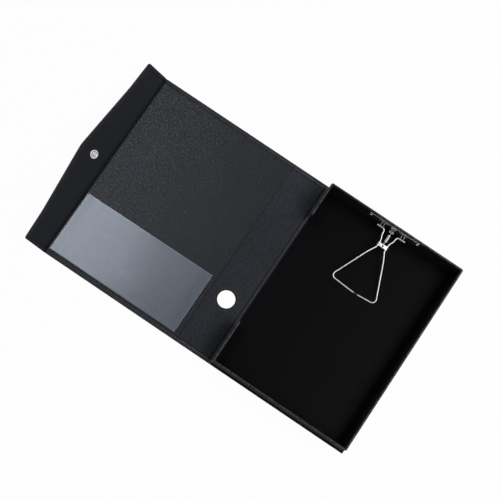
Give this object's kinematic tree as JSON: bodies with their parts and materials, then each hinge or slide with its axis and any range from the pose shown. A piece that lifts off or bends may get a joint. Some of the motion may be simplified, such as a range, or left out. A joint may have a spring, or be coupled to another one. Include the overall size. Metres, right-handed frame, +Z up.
{
  "type": "document box file",
  "caption": "Hard document box file, open flat: tray with a spring wire clip, spine with finger hole, cover with clear pocket, flap with a snap.",
  "frame": {"origin": "under the middle of the open case, on the surface that it lies on", "axes": "+X from the flap to the fore-edge of the tray, +Y along the spine towards the clip's wall, +Z up"},
  "size_m": [0.571, 0.32, 0.055],
  "materials": {
    "grained_leatherette": "pebble-grained black PU leatherette",
    "smooth_leatherette": "fine-grained black PU leatherette",
    "cover_lining": "grained dark grey-black leatherette lining",
    "smooth_lining": "smooth black lining",
    "greyboard": "grey bookbinding board",
    "clear_film": "clear frosted PVC film",
    "clip_steel": "nickel-plated spring steel",
    "snap_metal": "nickel-plated pressed steel"
  },
  "bodies": {
    "base": {"base_outer_skin": "grained_leatherette", "base_board": "greyboard", "tray_floor_lining": "smooth_lining", "tray_wall_wrap": "smooth_leatherette", "top_wall_board": "greyboard", "bottom_wall_board": "greyboard", "fore_edge_wall_board": "greyboard", "top_return_board": "greyboard", "bottom_return_board": "greyboard", "snap_socket": "snap_metal", "snap_socket_washer": "snap_metal", "clip_plate": "clip_steel", "clip_rivets": "clip_steel"},
    "base_crease": {"base_crease_skin": "grained_leatherette", "base_crease_lining": "cover_lining"},
    "spine": {"spine_outer_skin": "grained_leatherette", "spine_board": "greyboard", "spine_lining": "cover_lining"},
    "cover_crease": {"cover_crease_skin": "grained_leatherette", "cover_crease_lining": "cover_lining"},
    "cover": {"cover_outer_skin": "grained_leatherette", "cover_board": "greyboard", "cover_lining": "cover_lining", "cover_pocket_film": "clear_film"},
    "flap_crease": {"flap_crease_skin": "grained_leatherette", "flap_crease_lining": "cover_lining"},
    "flap": {"flap_outer_skin": "grained_leatherette", "flap_board": "greyboard", "flap_lining": "smooth_leatherette", "snap_stud": "snap_metal", "snap_stud_washer": "snap_metal"},
    "bail": {"bail_wire": "clip_steel", "bail_saddle": "clip_steel", "clip_spring": "clip_steel"}
  },
  "joints": [
    {"name": "base_fold", "type": "hinge", "parent": "base", "child": "base_crease", "pos_m": [0.05199, 0, 0.0007], "axis": [0, 1, 0], "range_deg": [0, 45]},
    {"name": "spine_fold", "type": "hinge", "parent": "base_crease", "child": "spine", "pos_m": [0.04899, 0, 0.0007], "axis": [0, 1, 0], "range_deg": [0, 45]},
    {"name": "spine_cover_fold", "type": "hinge", "parent": "spine", "child": "cover_crease", "pos_m": [-0.00681, 0, 0.0007], "axis": [0, 1, 0], "range_deg": [0, 45]},
    {"name": "cover_fold", "type": "hinge", "parent": "cover_crease", "child": "cover", "pos_m": [-0.00981, 0, 0.0007], "axis": [0, 1, 0], "range_deg": [0, 45]},
    {"name": "flap_crease_fold", "type": "hinge", "parent": "cover", "child": "flap_crease", "pos_m": [-0.24181, 0, 0.0007], "axis": [0, 1, 0], "range_deg": [-20, 22], "stiffness_Nm_per_rad": 0.4},
    {"name": "flap_fold", "type": "hinge", "parent": "flap_crease", "child": "flap", "pos_m": [-0.24463, 0, 0.00173], "axis": [0, 1, 0], "range_deg": [-20, 22], "stiffness_Nm_per_rad": 0.4},
    {"name": "bail_swing", "type": "hinge", "parent": "base", "child": "bail", "pos_m": [0.16664, 0.1478, 0.03], "axis": [1, 0, 0], "range_deg": [-104, 0], "deforming": ["clip_spring"]}
  ]
}
